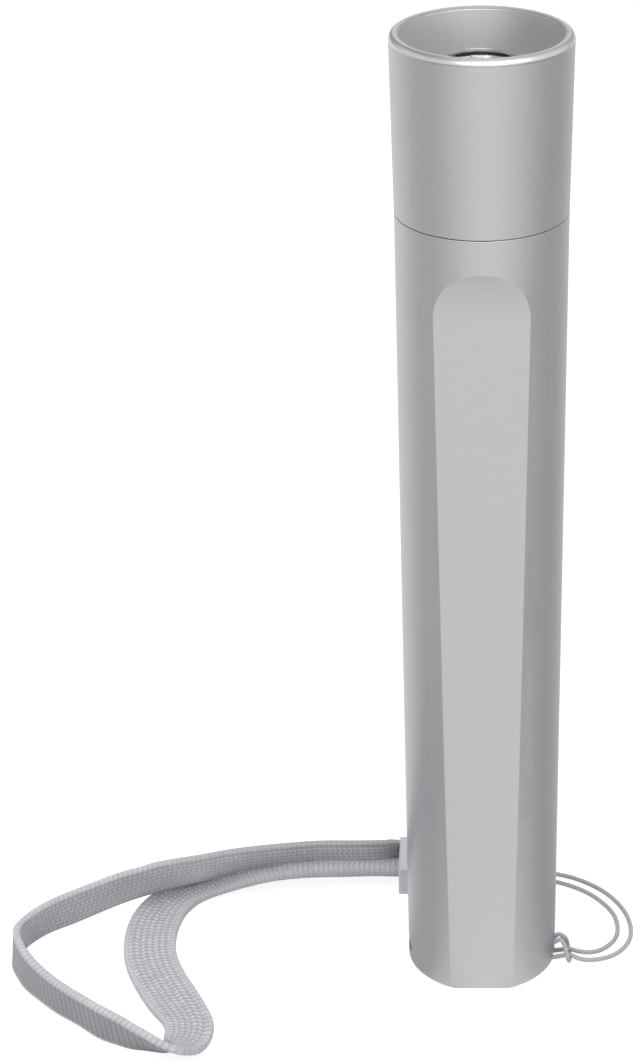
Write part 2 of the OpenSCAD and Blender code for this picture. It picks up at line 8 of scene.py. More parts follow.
import bpy
import numpy as np
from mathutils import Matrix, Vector


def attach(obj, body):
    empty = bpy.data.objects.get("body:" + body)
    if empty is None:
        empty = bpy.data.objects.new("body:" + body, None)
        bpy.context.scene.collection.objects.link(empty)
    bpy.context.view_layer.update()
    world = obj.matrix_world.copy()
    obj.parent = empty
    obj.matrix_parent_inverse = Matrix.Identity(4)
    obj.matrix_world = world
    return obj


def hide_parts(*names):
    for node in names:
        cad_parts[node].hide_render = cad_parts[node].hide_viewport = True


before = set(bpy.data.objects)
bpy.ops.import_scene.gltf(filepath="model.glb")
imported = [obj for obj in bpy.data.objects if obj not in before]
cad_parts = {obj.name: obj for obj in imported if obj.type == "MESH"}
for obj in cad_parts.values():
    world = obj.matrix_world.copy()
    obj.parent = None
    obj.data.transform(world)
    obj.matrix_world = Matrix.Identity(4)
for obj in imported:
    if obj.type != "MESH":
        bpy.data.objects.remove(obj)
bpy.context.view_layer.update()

MM = 0.001
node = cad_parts
scene = bpy.context.scene
scene.view_settings.view_transform = "Standard"


# Camera
def add_camera():
    """The photograph's camera: a long lens that looks down on the torch, right of the middle."""
    pitch_down = 26.9585
    data = bpy.data.cameras.new("camera")
    data.sensor_width = 36.0
    data.lens = 97.902
    data.shift_x = -0.1525
    data.clip_start, data.clip_end = 0.05, 20.0
    cam = bpy.data.objects.new("camera", data)
    cam.location = (0.0, -0.42602, 0.30063)
    cam.rotation_euler = (math.radians(90.0 - pitch_down), 0.0, 0.0)
    scene.collection.objects.link(cam)
    scene.camera = cam


add_camera()

# Sizes and routes of the lanyard, in millimetres
CLIP_X0 = -15.3  # left end of the clip
CORD_D = 0.8
STRAP_W = 9.3
STRAP_T = 1.4
STRAP_IN = 4.5   # how far the webbing goes into the clip

# Cord: the route of part.scad
CORD_ROUTE = [
    (-8, 23.7, 2.7), (-5.5, 23.7, 2.7), (-3, 23.8, 2.4), (0, 24.0, 1.3), (4, 24.2, 0.55), (9, 24.0, 0.45),
    (13.8, 23.3, 0.45), (18.4, 21.1, 0.45), (22.9, 16.9, 0.45), (25.9, 11.3, 0.45), (26.9, 5.2, 0.45),
    (26.0, 0.9, 0.45), (23.4, -2.5, 0.45), (19.9, -4.0, 0.5), (17.4, -4.1, 0.8), (15.5, -3.6, 1.3),
    (13.8, -3.3, 0.8), (12.6, -3.2, 0.5), (10.4, -3.1, 0.48), (9.1, -3.1, 0.75), (8.7, -3.0, 1.8),
    (9.2, -2.9, 2.7), (11.0, -2.8, 2.9), (12.9, -2.7, 3.4), (13.9, -2.8, 4.0), (14.6, -3.5, 3.5),
    (15.0, -4.5, 2.4), (15.3, -4.8, 1.3), (15.5, -4.1, 0.45), (15.6, -2.6, 0.45), (15.5, -1.1, 0.45),
    (15.3, -0.4, 1.3), (15.0, -0.7, 2.6), (14.4, -1.1, 3.6), (13.6, -1.3, 4.1), (12.6, -1.3, 3.3),
    (11.0, -1.3, 2.9), (9.2, -1.3, 2.7), (8.7, -1.2, 1.8), (9.1, -1.1, 0.75), (10.4, -1.1, 0.48),
    (12.6, -1.2, 0.5), (13.8, -1.4, 0.8), (15.5, -1.8, 1.3), (17.2, -1.8, 0.8), (19.0, -1.7, 0.5),
    (21.1, -1.0, 0.45), (23.2, 1.2, 0.45), (24.4, 4.3, 0.45), (24.1, 9.6, 0.45), (21.8, 14.3, 0.45),
    (18.4, 18.0, 0.45), (13.7, 20.7, 0.45), (9, 21.9, 0.45), (4, 22.2, 0.55), (0, 22.1, 1.3),
    (-3, 21.9, 2.4), (-5.5, 21.8, 2.7), (-8, 21.8, 2.7)]

# Webbing: middle of the band, compass bearing and elevation of its width in degrees, and the width.
# ROUTE_LEFT and ROUTE_FLAT are as in part.scad. The other three stretches leave its route, by up to
# 3 mm where they can be seen, to lie as in the photograph.
INTO_CLIP = [
    (CLIP_X0 + STRAP_IN, 26.3, 3.6, -90, 75, 3.9), (CLIP_X0 + 1.2, 26.7, 3.65, -90, 74, 4.0),
    (-15.3, 26.9, 3.7, -90, 73, 4.2), (-16.5, 26.25, 3.7, -90, 73, 5.8),
    (-18.0, 25.2, 3.75, -90, 73, 7.0), (-20.0, 24.4, 3.9, -90, 74, 7.6),
    (-23.5, 24.1, 3.95, -90, 74, 7.8), (-30.0, 24.15, 3.95, -89, 72, 7.9),
    (-37.5, 23.1, 4.0, -84, 69, 8.3), (-45.0, 20.95, 4.55, -78, 66, 8.5),
    (-52.1, 16.85, 5.75, -73, 64, 8.8)]
ROUTE_LEFT = [
    (-59.3, 13.5, 6.2, -66, 65, STRAP_W), (-62.5, 12.5, 5.72, -63, 65, STRAP_W),
    (-66, 11.4, 5.11, -60, 67, STRAP_W), (-72.9, 6.8, 4.7, -50, 69, STRAP_W),
    (-77.7, 3.0, 4.7, -42, 68, STRAP_W), (-80.8, -1.3, 4.75, -28, 71, STRAP_W),
    (-82.0, -6.1, 4.8, -45, 80, STRAP_W), (-80.5, -10.6, 4.73, -75, 82, STRAP_W),
    (-78.8, -13.7, 4.69, -72, 74, STRAP_W), (-76.3, -16.8, 4.6, -71, 68, STRAP_W),
    (-72.9, -20.5, 4.56, -71, 66, STRAP_W), (-68.0, -24.8, 4.54, -74, 65, STRAP_W)]
FOLD = [
    (-64.8, -27.5, 4.4, -75, 67, STRAP_W), (-61.1, -29.8, 4.2, -75, 62, STRAP_W),
    (-58.8, -31.1, 4.0, -77, 57, STRAP_W), (-56.5, -32.0, 3.75, -79, 50, STRAP_W),
    (-54.5, -32.8, 3.5, -80, 44, STRAP_W), (-52.8, -33.2, 3.2, -78, 39, STRAP_W),
    (-51.6, -33.0, 2.85, -70, 31, STRAP_W), (-51.2, -31.4, 2.1, -53, 20, STRAP_W),
    (-50.76, -29.37, 1.25, -35, 7, 8.5), (-50.22, -27.3, 0.85, -20, 1, 8.3),
    (-50.1, -25.1, 0.8, -9, 0, 8.6), (-50.5, -22.8, 0.8, 2, 0, 8.8)]
ROUTE_FLAT = [
    (-54.0, -15.7, 0.8, 25, 0, STRAP_W), (-56.7, -10.0, 0.8, 22, 0, STRAP_W),
    (-58.7, -4.2, 0.8, 12, 0, STRAP_W), (-59.4, 1.7, 0.8, 0, 0, STRAP_W),
    (-58.9, 7.8, 0.8, -12, 0, 9.2), (-57.0, 13.1, 0.8, -30, 1, 8.7),
    (-53.0, 17.6, 0.9, -52, 2, 8.1)]
OUT_OF_CLIP = [
    (-40.5, 21.05, 2.15, -78, 11, 7.2), (-33.0, 21.45, 2.9, -85, 10, 6.7),
    (-25.5, 21.5, 3.05, -90, 10, 6.4), (-20.0, 21.9, 2.95, -90, 12, 6.9),
    (-15.3, 22.3, 2.7, -90, 14, 7.8), (CLIP_X0 + STRAP_IN, 22.6, 2.8, -90, 12, 7.8)]
STRAP_LAY = INTO_CLIP + ROUTE_LEFT + FOLD + ROUTE_FLAT + OUT_OF_CLIP


# Material nodes
EDGE_GAIN = 3.0  # how strongly a rounded normal counts as a worn edge


def grey(tone):
    """A neutral grey."""
    return (tone, tone, tone)


def scaled(colour, factor):
    """The colour, darker or lighter by the factor."""
    return tuple(min(c * factor, 1.0) for c in colour)


class Nodes:
    """The shader nodes of a material or a world, with short ways to add and link them."""

    def __init__(self, owner, shader="Principled BSDF"):
        owner.use_nodes = True
        self.owner = owner
        self.tree = owner.node_tree
        self.shader = self.tree.nodes[shader]

    def add(self, kind, links=None, **values):
        """A new node: links by input name, then settings and input values by name."""
        made = self.tree.nodes.new(kind)
        for key, value in values.items():
            if hasattr(made, key):
                setattr(made, key, value)
            else:
                made.inputs[key.replace("_", " ")].default_value = value
        for key, source in (links or {}).items():
            self.link(source, made.inputs[key])
        return made

    def link(self, source, target):
        self.tree.links.new(source, target)

    def math(self, operation, a, b):
        """The operation on two numbers or sockets."""
        made = self.add("ShaderNodeMath", operation=operation)
        for index, value in enumerate((a, b)):
            if isinstance(value, (int, float)):
                made.inputs[index].default_value = value
            else:
                self.link(value, made.inputs[index])
        return made.outputs[0]

    def noise(self, scale, detail, stretch=(1, 1, 1)):
        """Noise from 0 to 1 fixed to the object, with this many cells a metre."""
        place = self.add("ShaderNodeTexCoord")
        mapping = self.add("ShaderNodeMapping", {"Vector": place.outputs["Object"]})
        mapping.inputs["Scale"].default_value = stretch
        made = self.add("ShaderNodeTexNoise", {"Vector": mapping.outputs[0]}, Scale=scale, Detail=detail)
        return made.outputs["Fac"]

    def ramp(self, source, low, high, at=(0.3, 0.7)):
        """From one colour to another as the source goes from the first place to the second."""
        made = self.add("ShaderNodeValToRGB", {"Fac": source})
        for stop, colour, place in zip(made.color_ramp.elements, (low, high), at):
            stop.position = place
            stop.color = (*colour, 1.0)
        return made.outputs["Color"]

    def span(self, source, low, high):
        """The source, from 0 to 1, spread from low to high."""
        made = self.add("ShaderNodeMapRange", {"Value": source}, To_Min=low, To_Max=high)
        return made.outputs["Result"]

    def rising(self, source, low, high):
        """0 where the source is below low, 1 where it is above high."""
        made = self.add("ShaderNodeMapRange", {"Value": source}, From_Min=low, From_Max=high)
        return made.outputs["Result"]

    def mix(self, factor, a, b):
        """Colour a where the factor is 0, colour b where it is 1."""
        made = self.add("ShaderNodeMix", data_type="RGBA")
        for index, value in ((0, factor), (6, a), (7, b)):
            if isinstance(value, (int, float)):
                made.inputs[index].default_value = value
            elif isinstance(value, tuple):
                made.inputs[index].default_value = (*value, 1.0)
            else:
                self.link(value, made.inputs[index])
        return made.outputs[2]

    def bump(self, height, distance, strength, below=None):
        """Normal of a relief this deep, laid over the normal below."""
        made = self.add("ShaderNodeBump", {"Height": height}, Distance=distance, Strength=strength)
        if below is not None:
            self.link(below, made.inputs["Normal"])
        return made.outputs["Normal"]

    def edges(self, radius):
        """How sharp the edge is, from 0 on a face, and the normal as if rounded to the radius."""
        bevel = self.add("ShaderNodeBevel", samples=4, Radius=radius)
        face = self.add("ShaderNodeNewGeometry")
        dot = self.add("ShaderNodeVectorMath", operation="DOT_PRODUCT")
        self.link(bevel.outputs[0], dot.inputs[0])
        self.link(face.outputs["Normal"], dot.inputs[1])
        sharpness = self.math("MULTIPLY", self.math("SUBTRACT", 1.0, dot.outputs["Value"]), EDGE_GAIN)
        return sharpness, bevel.outputs[0]

    def by_bearing(self, vector, tones):
        """Grey by the compass bearing of a vector, from tones by bearing in degrees."""
        split = self.add("ShaderNodeSeparateXYZ", {"Vector": vector})
        ahead = self.math("MULTIPLY", split.outputs["Y"], -1.0)
        bearing = self.math("ARCTAN2", split.outputs["X"], ahead)
        ramp = self.add("ShaderNodeValToRGB", {"Fac": self.rising(bearing, -math.pi, math.pi)})
        ramp.color_ramp.interpolation = "EASE"
        stops = ramp.color_ramp.elements
        for degrees, tone in tones.items():
            place = (degrees + 180) / 360
            stop = stops[0] if place == 0 else stops[-1] if place == 1 else stops.new(place)
            stop.position = place
            stop.color = (*grey(tone), 1.0)
        return ramp.outputs["Color"]


def shade(tone):
    """One linear grey from 0 to 1, slightly cool as anodised aluminium is."""
    return (tone * 0.99, tone * 0.998, tone * 1.024)


def blasted_aluminium(name, tone=0.60, rough=0.42, wear=0.00018):
    """Bead-blasted, clear anodised aluminium: a fine even grain, faint cloudiness, brighter edges."""
    n = Nodes(bpy.data.materials.new(name))
    grain = n.noise(5200.0, 3.0)
    speckle = n.noise(2200.0, 2.0, (0.3, 0.3, 1.0))
    cloud = n.noise(55.0, 4.0, (1, 1, 0.35))
    worn, round_normal = n.edges(wear)
    colour = n.ramp(speckle, shade(tone * 0.98), shade(tone * 1.02))
    colour = n.mix(n.span(cloud, 0.0, 0.35), colour, shade(tone * 0.97))
    colour = n.mix(n.math("MINIMUM", worn, 0.6), colour, shade(min(tone * 1.2, 0.9)))
    n.link(colour, n.shader.inputs["Base Color"])
    n.shader.inputs["Metallic"].default_value = 1.0
    n.link(n.math("ADD", n.span(grain, rough - 0.04, rough + 0.06), n.span(cloud, -0.01, 0.02)),
           n.shader.inputs["Roughness"])
    fine = n.bump(grain, 0.000012, 0.5, round_normal)
    n.link(n.bump(speckle, 0.00002, 0.25, fine), n.shader.inputs["Normal"])
    return n.owner


def turned_metal(name, colour, rough=0.28, ring=9000.0):
    """Metal with fine turning marks round the axis."""
    n = Nodes(bpy.data.materials.new(name))
    marks = n.noise(ring, 2.0, (0.02, 0.02, 1.0))
    cloud = n.noise(160.0, 3.0)
    worn, round_normal = n.edges(0.00012)
    bright = scaled(colour, 1.08)
    body = n.mix(marks, scaled(colour, 0.9), bright)
    n.link(n.mix(n.math("MINIMUM", worn, 0.5), body, bright), n.shader.inputs["Base Color"])
    n.shader.inputs["Metallic"].default_value = 1.0
    n.link(n.math("ADD", n.span(marks, rough - 0.06, rough + 0.08), n.span(cloud, -0.03, 0.05)),
           n.shader.inputs["Roughness"])
    n.link(n.bump(marks, 0.00001, 0.5, round_normal), n.shader.inputs["Normal"])
    return n.owner


def moulded(name, colour, rough, coat=0.0):
    """Moulded plastic, rubber or lacquered board: fine grain, uneven sheen, lighter rubbed edges."""
    n = Nodes(bpy.data.materials.new(name))
    fine = n.noise(2500.0, 3.0)
    cloud = n.noise(120.0, 3.0)
    worn, round_normal = n.edges(0.00015)
    bright = tuple(min(c * 1.15 + 0.01, 1.0) for c in colour)
    body = n.mix(cloud, scaled(colour, 0.9), colour)
    n.link(n.mix(n.math("MINIMUM", worn, 0.4), body, bright), n.shader.inputs["Base Color"])
    n.link(n.math("ADD", n.span(fine, rough - 0.07, rough + 0.08), n.span(cloud, -0.03, 0.03)),
           n.shader.inputs["Roughness"])
    n.shader.inputs["Coat Weight"].default_value = coat
    n.link(n.bump(fine, 0.00001, 0.6, round_normal), n.shader.inputs["Normal"])
    return n.owner


def clear(name, tint, rough=0.0, ior=1.5):
    """Clear glass or silicone with a trace of smear in its gloss."""
    n = Nodes(bpy.data.materials.new(name))
    smear = n.noise(420.0, 3.0)
    n.link(n.mix(n.span(smear, 0.0, 0.2), tint, scaled(tint, 0.985)), n.shader.inputs["Base Color"])
    n.link(n.span(smear, rough, rough + 0.02), n.shader.inputs["Roughness"])
    n.shader.inputs["Transmission Weight"].default_value = 1.0
    n.shader.inputs["IOR"].default_value = ior
    return n.owner


def woven(name, low, high):
    """Nylon yarn: the relief attribute lightens the crowns of the stitches; filaments run along them.
    On the webbing the relief also holds painted light on the inner face and painted shade on the edges
    near the clip.
    """
    n = Nodes(bpy.data.materials.new(name))
    relief = n.add("ShaderNodeAttribute", attribute_name="relief").outputs["Fac"]
    yarn = n.add("ShaderNodeAttribute", attribute_name="yarn").outputs["Vector"]
    filament = n.add("ShaderNodeTexNoise", {"Vector": yarn}, Scale=1.0, Detail=3.0).outputs["Fac"]
    cloud = n.noise(260.0, 3.0)
    crown = n.math("ADD", relief, n.span(filament, -0.35, 0.35))
    colour = n.ramp(crown, low, high, (0.05, 0.95))
    n.link(n.mix(n.span(cloud, 0.0, 0.3), colour, scaled(low, 0.85)), n.shader.inputs["Base Color"])
    n.link(n.span(filament, 0.7, 0.9), n.shader.inputs["Roughness"])
    n.shader.inputs["Sheen Weight"].default_value = 0.12
    n.shader.inputs["Sheen Roughness"].default_value = 0.5
    n.shader.inputs["Specular IOR Level"].default_value = 0.3
    n.link(n.bump(filament, 0.00003, 0.7), n.shader.inputs["Normal"])
    return n.owner


BLASTED = blasted_aluminium("blasted_aluminium_detail")
MATERIALS = {
    "body_tube": BLASTED, "head_shell": BLASTED,
    "heat_sink": turned_metal("turned_aluminium_detail", (0.75, 0.75, 0.76)),
    "lens_ring": turned_metal("ring_aluminium_detail", (0.7, 0.7, 0.72)),
    "neck_seal": moulded("seal_rubber_detail", (0.02, 0.02, 0.022), 0.55),
    "lens_gasket": moulded("gasket_rubber_detail", (0.07, 0.07, 0.072), 0.6),
    "tail_contact": turned_metal("contact_brass_detail", (0.78, 0.6, 0.28), 0.22),
    "driver_ring": turned_metal("ring_brass_detail", (0.72, 0.55, 0.25), 0.3),
    "contact_spring": turned_metal("spring_brass_detail", (0.8, 0.64, 0.32), 0.2),
    "cell_liner": moulded("liner_plastic_detail", (0.82, 0.82, 0.8), 0.5),
    "rear_cell_can": moulded("rear_sleeve_detail", (0.16, 0.2, 0.23), 0.3, coat=0.4),
    "front_cell_can": moulded("front_sleeve_detail", (0.16, 0.2, 0.23), 0.3, coat=0.4),
    "rear_cell_cap": turned_metal("rear_cap_steel_detail", (0.72, 0.71, 0.69), 0.25),
    "front_cell_cap": turned_metal("front_cap_steel_detail", (0.72, 0.71, 0.69), 0.25),
    "key_pin": turned_metal("key_steel_detail", (0.6, 0.6, 0.6), 0.25),
    "driver_board": moulded("board_green_detail", (0.02, 0.14, 0.06), 0.35, coat=0.3),
    "driver_chip": moulded("chip_black_detail", (0.03, 0.03, 0.033), 0.5),
    "driver_coil": moulded("coil_black_detail", (0.05, 0.05, 0.055), 0.6),
    "capacitor_left": moulded("capacitor_left_detail", (0.42, 0.3, 0.18), 0.4),
    "capacitor_right": moulded("capacitor_right_detail", (0.42, 0.3, 0.18), 0.4),
    "wire_positive": moulded("wire_red_detail", (0.45, 0.03, 0.02), 0.4),
    "wire_negative": moulded("wire_black_detail", (0.02, 0.02, 0.02), 0.4),
    "emitter_board": moulded("board_white_detail", (0.78, 0.78, 0.78), 0.35, coat=0.3),
    "centring_ring": moulded("centring_white_detail", (0.8, 0.8, 0.78), 0.45),
    "emitter_base": moulded("emitter_ceramic_detail", (0.8, 0.76, 0.6), 0.4),
    "emitter_dome": clear("emitter_silicone_detail", (0.95, 0.85, 0.35), 0.05, 1.41),
    "reflector": turned_metal("reflector_bright_detail", (0.9, 0.9, 0.9), 0.25, 2000.0),
    "lens": clear("lens_clear_detail", (0.97, 0.98, 0.98)),
    "strap_clip": moulded("clip_plastic_detail", (0.48, 0.487, 0.51), 0.42),
}
for part, material in MATERIALS.items():
    mesh = node[part].data
    mesh.materials.clear()
    mesh.materials.append(material)


# Lanyard
def smooth_path(stations, step):
    """Points along a Catmull-Rom curve through the stations, about step apart.

    The first three columns are the place; any others are carried along with it.
    """
    p = np.array(stations, float)
    p = np.vstack([2 * p[0] - p[1], p, 2 * p[-1] - p[-2]])
    out = []
    for i in range(1, len(p) - 2):
        gaps = [max(np.linalg.norm(p[i + k + 1][:3] - p[i + k][:3]), 1e-6) ** 0.5 for k in (-1, 0, 1)]
        t0 = 0.0
        t1 = t0 + gaps[0]
        t2 = t1 + gaps[1]
        t3 = t2 + gaps[2]
        count = max(2, int(round(np.linalg.norm(p[i + 1][:3] - p[i][:3]) / step)))
        for k in range(count):
            t = t1 + (t2 - t1) * k / count
            a1 = (t1 - t) / (t1 - t0) * p[i - 1] + (t - t0) / (t1 - t0) * p[i]
            a2 = (t2 - t) / (t2 - t1) * p[i] + (t - t1) / (t2 - t1) * p[i + 1]
            a3 = (t3 - t) / (t3 - t2) * p[i + 1] + (t - t2) / (t3 - t2) * p[i + 2]
            b1 = (t2 - t) / (t2 - t0) * a1 + (t - t0) / (t2 - t0) * a2
            b2 = (t3 - t) / (t3 - t1) * a2 + (t - t1) / (t3 - t1) * a3
            out.append((t2 - t) / (t2 - t1) * b1 + (t - t1) / (t2 - t1) * b2)
    out.append(p[-2])
    return np.array(out)


def run_of(path):
    """Distance along the path at each of its points."""
    return np.concatenate([[0.0], np.cumsum(np.linalg.norm(np.diff(path[:, :3], axis=0), axis=1))])


def tangents(path):
    """Unit direction of the path at each of its points."""
    t = np.gradient(path[:, :3], axis=0)
    return t / np.linalg.norm(t, axis=1)[:, None]


def skin(name, rings, relief, material, yarn=None):
    """A closed mesh over rings of points, in millimetres, capped at both ends.

    Each point keeps its relief and, where given, its place in the yarn, for the material.
    """
    count, sides = rings.shape[:2]
    faces = []
    for i in range(count - 1):
        a, b = i * sides, (i + 1) * sides
        for k in range(sides):
            m = (k + 1) % sides
            faces.append((a + k, a + m, b + m, b + k))
    faces.append(tuple(range(sides))[::-1])
    faces.append(tuple((count - 1) * sides + k for k in range(sides)))
    mesh = bpy.data.meshes.new(name)
    mesh.from_pydata((rings.reshape(-1, 3) * MM).tolist(), [], faces)
    heights = mesh.attributes.new("relief", "FLOAT", "POINT")
    heights.data.foreach_set("value", relief.reshape(-1).astype(np.float32))
    if yarn is not None:
        places = mesh.attributes.new("yarn", "FLOAT_VECTOR", "POINT")
        places.data.foreach_set("vector", yarn.reshape(-1).astype(np.float32))
    mesh.polygons.foreach_set("use_smooth", [True] * len(mesh.polygons))
    mesh.materials.append(material)
    made = bpy.data.objects.new(name, mesh)
    scene.collection.objects.link(made)
    return made


CORD_STEP = 0.16    # distance between rings
CORD_SIDES = 16     # points round a ring
STRANDS = 4         # strands laid each way, left and right
STRAND_TURN = 3.2   # length in which a strand goes once round
STRAND_GAP = 0.94   # radius in the gaps between strands, as a share of the whole


def lift(low, share):
    """A share from 0 to 1, raised so that 0 becomes low and 1 stays."""
    return low + (1 - low) * share


def braided_cord():
    """Round cord of eight braided strands, along the route of the CAD cord."""
    path = smooth_path(CORD_ROUTE, CORD_STEP)
    along = tangents(path)
    run = run_of(path)
    # a frame that turns as little as it can along the cord
    side = np.zeros_like(along)
    side[0] = np.cross(along[0], (0, 0, 1.0))
    for i in range(1, len(path)):
        side[i] = side[i - 1] - along[i] * np.dot(side[i - 1], along[i])
        side[i] /= np.linalg.norm(side[i])
    side[0] /= np.linalg.norm(side[0])
    up = np.cross(along, side)
    angle = np.arange(CORD_SIDES) * 2 * math.pi / CORD_SIDES
    lay = run[:, None] * 2 * math.pi / STRAND_TURN
    right_laid = np.maximum(np.cos(STRANDS * angle[None] + STRANDS * lay), 0)
    left_laid = np.maximum(np.cos(STRANDS * angle[None] - STRANDS * lay), 0)
    relief = np.clip(right_laid + left_laid, 0, 1)
    radius = CORD_D / 2 * lift(STRAND_GAP, relief)
    spokes = (np.cos(angle)[None, :, None] * side[:, None, :]
              + np.sin(angle)[None, :, None] * up[:, None, :])
    rings = path[:, None, :] + radius[:, :, None] * spokes
    around, onward = 4.0, 5.0  # scale of the filaments round the cord and along it
    yarn = np.stack(np.broadcast_arrays(around * np.cos(angle)[None], around * np.sin(angle)[None],
                                        onward * run[:, None]), -1)
    return skin("braided_cord", rings, relief, CORD_YARN, yarn), path, run[-1]


def width_way(bearing, elevation):
    """Unit direction of a bearing and an elevation, in degrees."""
    b, e = np.radians(bearing), np.radians(elevation)
    return np.stack([np.cos(e) * np.cos(b), np.cos(e) * np.sin(b), np.sin(e)], -1)


COLUMNS = 7       # columns of stitches across the inner face
STITCH = 0.95     # length of a stitch along the strap
STITCH_RINGS = 6  # rings of points in a stitch
SLANT = 0.3       # lean of the stitches in a column, as a share of their length
TWILL = 1.2       # pitch of the slanted lines on the outer face
TWILL_LEAN = 4.0  # their lean from the middle to the edge, in radians of their pitch
RELIEF = 0.09     # depth of the weave
HEM = 0.07        # share of each face that belongs to the bound edge
FACE = 49         # points across each face
EDGE = 7          # points round each edge
LOOPS = 400       # stitches in a column before their unevenness repeats

# Heights in the weave, which are its tones too: 0 lowest and darkest, 1 highest and lightest
INNER_GAP, INNER_CROWN = 0.22, 0.93
OUTER_CROWN = 0.36
BOUND, BOUND_CROWN = 0.61, 0.16
# From its start in the clip the weave of the inner face is fuller and lighter, most of all on the lower
# side;
# the lighter tone is painted light against the shade that the near strand and the torch cast there. Run
# at which that ends, length over which it fades, and height
FULLER_AND_PAINTED_LIGHT = (105, 50, 0.3)
FULLER_SIDE_AND_PAINTED_LIGHT = (70, 45, 0.45)
# The bound edges are lower near the clip, and darker there with painted shade: share of their height
# there, where it starts to come back, and over what length
EDGE_LOW_AND_PAINTED_SHADE_BY_CLIP, EDGE_FROM, EDGE_OVER = 0.45, 12, 50


def band_section():
    """One turn round the band: place across the faces, bulge of the edges and side of the thickness.

    It goes across the outer face, round one edge, back across the inner face and round the other edge.
    """
    turn = np.linspace(-90, 90, EDGE + 2)[1:-1] * math.pi / 180
    flat = np.linspace(-1, 1, FACE)
    zeros, ones = np.zeros(FACE), np.ones(FACE)
    round_out = np.cos(turn) ** 0.5
    round_up = np.sign(np.sin(turn)) * np.abs(np.sin(turn)) ** 0.7
    side = np.concatenate([flat, ones[:EDGE], -flat, -ones[:EDGE]])
    bulge = np.concatenate([zeros, round_out, zeros, -round_out])
    rise = np.concatenate([ones, -round_up, -ones, round_up])
    return side[None], bulge[None], rise[None]


def near_start(run, end, length, height):
    """The height at the start of the strap, falling to 0 over the length before the end."""
    return np.clip((end - run) / length, 0, 1) * height


def weave(run, side, rise):
    """Relief at every point of the band, by its run along the strap and its place in the section.
    Near the clip it holds painted light on the inner face and painted shade on the bound edges.
    """
    turns = 2 * math.pi * run
    column = (side + 1) / 2 * COLUMNS
    lean = SLANT * 2 * math.pi * (2 * np.abs(column % 2 - 1) - 1)
    stitch = 0.5 + 0.5 * np.cos(turns / STITCH + lean)
    rib = np.sin(column * math.pi) ** 2
    uneven = np.random.default_rng(7).uniform(0.55, 1.0, (COLUMNS + 1, LOOPS))
    loop = ((turns / STITCH + lean + math.pi) // (2 * math.pi)).astype(int) % LOOPS
    crown = lift(0.05, stitch * uneven[column.astype(int), loop]) * lift(0.3, rib)
    inner = INNER_GAP + INNER_CROWN * crown
    # painted light: the inner face lightened near the clip, most of all on its lower side
    inner = inner + near_start(run, *FULLER_AND_PAINTED_LIGHT) * lift(0.4, rib)
    inner = inner + near_start(run, *FULLER_SIDE_AND_PAINTED_LIGHT) * np.clip(0.4 - side, 0, 1)
    twill = 0.5 + 0.5 * np.cos(turns / TWILL + TWILL_LEAN * side)
    outer = OUTER_CROWN * twill ** 1.5 * lift(0.5, rib)
    bound = BOUND + BOUND_CROWN * np.cos(turns / STITCH + 1.2 * rise) * uneven[0, loop]
    # painted shade: the bound edges darkened near the clip, at both ends of the strap
    from_clip = np.minimum(run, run[-1] - run)
    back = np.clip((from_clip - EDGE_FROM) / EDGE_OVER, 0, 1)
    bound = bound * lift(EDGE_LOW_AND_PAINTED_SHADE_BY_CLIP, back)
    on_face = np.abs(rise) > 0.999
    relief = np.where(on_face, np.where(rise > 0, outer, inner), bound)
    hem = np.clip((np.abs(side) - (1 - HEM)) / HEM, 0, 1) * on_face
    return relief * (1 - hem) + bound * hem


def webbing():
    """Flat woven nylon: columns of slanted stitches on the inner face, slanted lines on the outer."""
    stations = np.array(STRAP_LAY, float)
    ways = width_way(stations[:, 3], stations[:, 4])
    columns = np.hstack([stations[:, :3], ways, stations[:, 5:6]])
    path = smooth_path(columns, STITCH / STITCH_RINGS)
    along = tangents(path)
    run = run_of(path)
    way = path[:, 3:6] / np.linalg.norm(path[:, 3:6], axis=1)[:, None]
    out = np.cross(along, way)
    out /= np.linalg.norm(out, axis=1)[:, None]
    width = path[:, 6]
    half = STRAP_T / 2
    side, bulge, rise = band_section()
    relief = weave(run[:, None], side, rise)
    reach = 1 - RELIEF / half * (1 - relief)
    across = side * (width[:, None] / 2 - half) + bulge * half * lift(0.5, reach)
    height = rise * half * reach
    rings = (path[:, None, :3] + across[:, :, None] * way[:, None, :]
             + height[:, :, None] * out[:, None, :])
    fine, onward = 8.0, 2.5  # scale of the filaments across the strap and along it
    length_way = np.broadcast_to(run[:, None] * onward, across.shape)
    yarn = np.stack([across * fine, length_way, height * fine], -1)
    return skin("woven_webbing", rings, relief, STRAP_YARN, yarn), path[:, :3], run[-1]


STRAP_YARN = woven("strap_yarn_detail", (0.235, 0.24, 0.256), (0.63, 0.638, 0.67))
CORD_YARN = woven("cord_yarn_detail", (0.33, 0.335, 0.35), (0.52, 0.528, 0.555))

cord, cord_path, cord_run = braided_cord()
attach(cord, "torch_body")
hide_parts("lanyard_cord")

strap, strap_path, strap_run = webbing()
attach(strap, "torch_body")
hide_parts("wrist_strap")


# Screw thread on the neck
THREAD_TURNS = 5
THREAD_PITCH = 1.25
THREAD_LOW = 144.6                   # height of its lower end
THREAD_ROOT, THREAD_CREST = 11.26, 11.385
THREAD_POINTS = 72                   # points in a turn
THREAD_FADE = 12                     # points over which each end runs out


